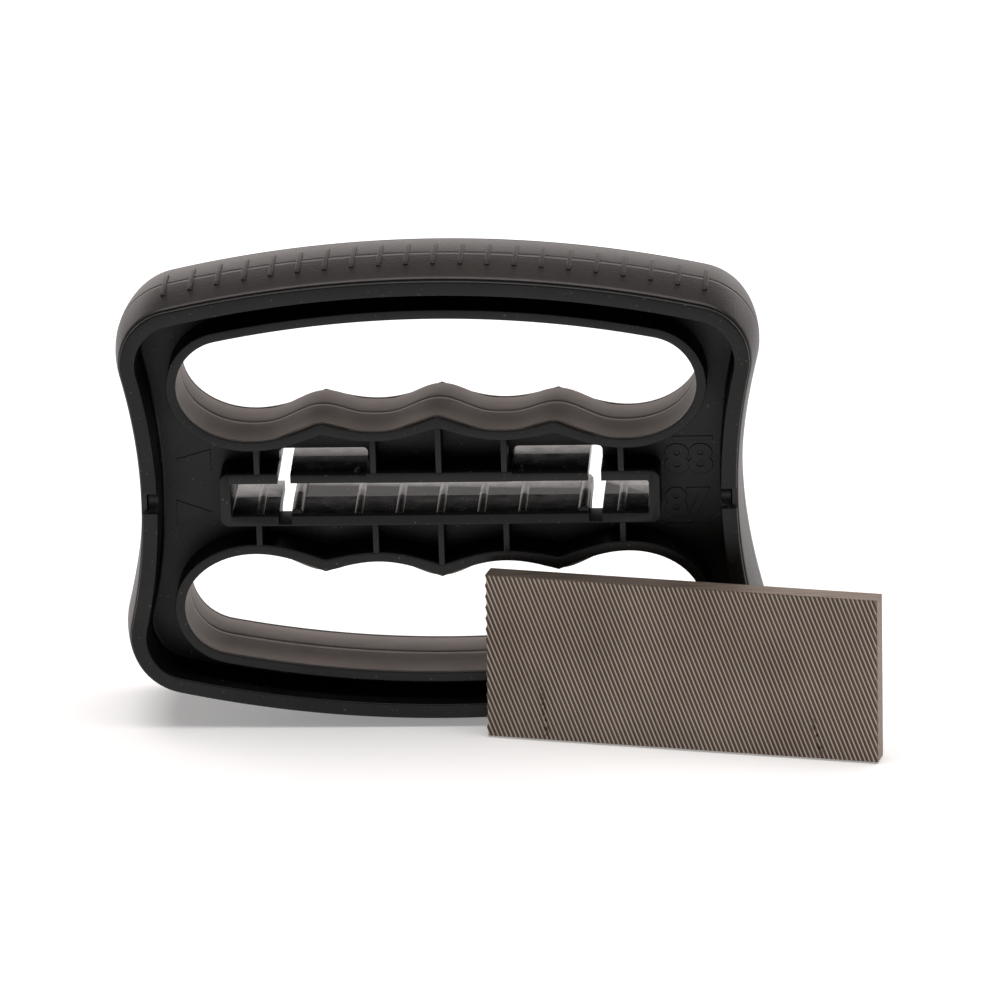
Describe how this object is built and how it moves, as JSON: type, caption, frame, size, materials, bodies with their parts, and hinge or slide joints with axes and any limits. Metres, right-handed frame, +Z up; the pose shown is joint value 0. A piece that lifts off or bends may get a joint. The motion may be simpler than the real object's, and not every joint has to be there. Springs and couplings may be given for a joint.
{
  "type": "edge beveling file guide",
  "caption": "Two-handed guide that holds a flat file at a set angle for beveling edges, with a through file channel, finger holes and soft grips. Its file stands loose in front.",
  "frame": {"origin": "middle of the base of the whole object's box, on the surface that the guide and the file stand on", "axes": "+X to the right along the guide's length, +Z up, +Y from the near face, where the file stands, to the far face"},
  "size_m": [0.153, 0.0448, 0.098],
  "materials": {
    "guide_plastic": "satin black injection-moulded plastic, glossier inside the file channel",
    "outer_grip_rubber": "matte mid-grey soft-touch overmould, finely textured",
    "finger_grip_rubber": "smooth matte grey soft-touch lining",
    "file_steel": "single-cut hardened steel, brownish grey, ground edges"
  },
  "bodies": {
    "guide": {"guide_body": "guide_plastic", "outer_grip": "outer_grip_rubber", "upper_finger_grip": "finger_grip_rubber", "lower_finger_grip": "finger_grip_rubber"},
    "left_arm": {"left_spring_arm": "guide_plastic"},
    "right_arm": {"right_spring_arm": "guide_plastic"},
    "file": {"file_blade": "file_steel"}
  },
  "joints": [
    {"name": "left_arm_flex", "type": "hinge", "parent": "guide", "child": "left_arm", "pos_m": [-0.02684, 0.01039, 0.05315], "axis": [0, 1, 0], "range_deg": [0, 1.5], "stiffness_Nm_per_rad": 6},
    {"name": "right_arm_flex", "type": "hinge", "parent": "guide", "child": "right_arm", "pos_m": [0.00266, 0.01039, 0.05315], "axis": [0, -1, 0], "range_deg": [0, 1.5], "stiffness_Nm_per_rad": 6},
    {"name": "file_lift", "type": "slide", "parent": "guide", "child": "file", "axis": [0, -0.5, 0.866], "range_m": [0, 0.12]}
  ]
}
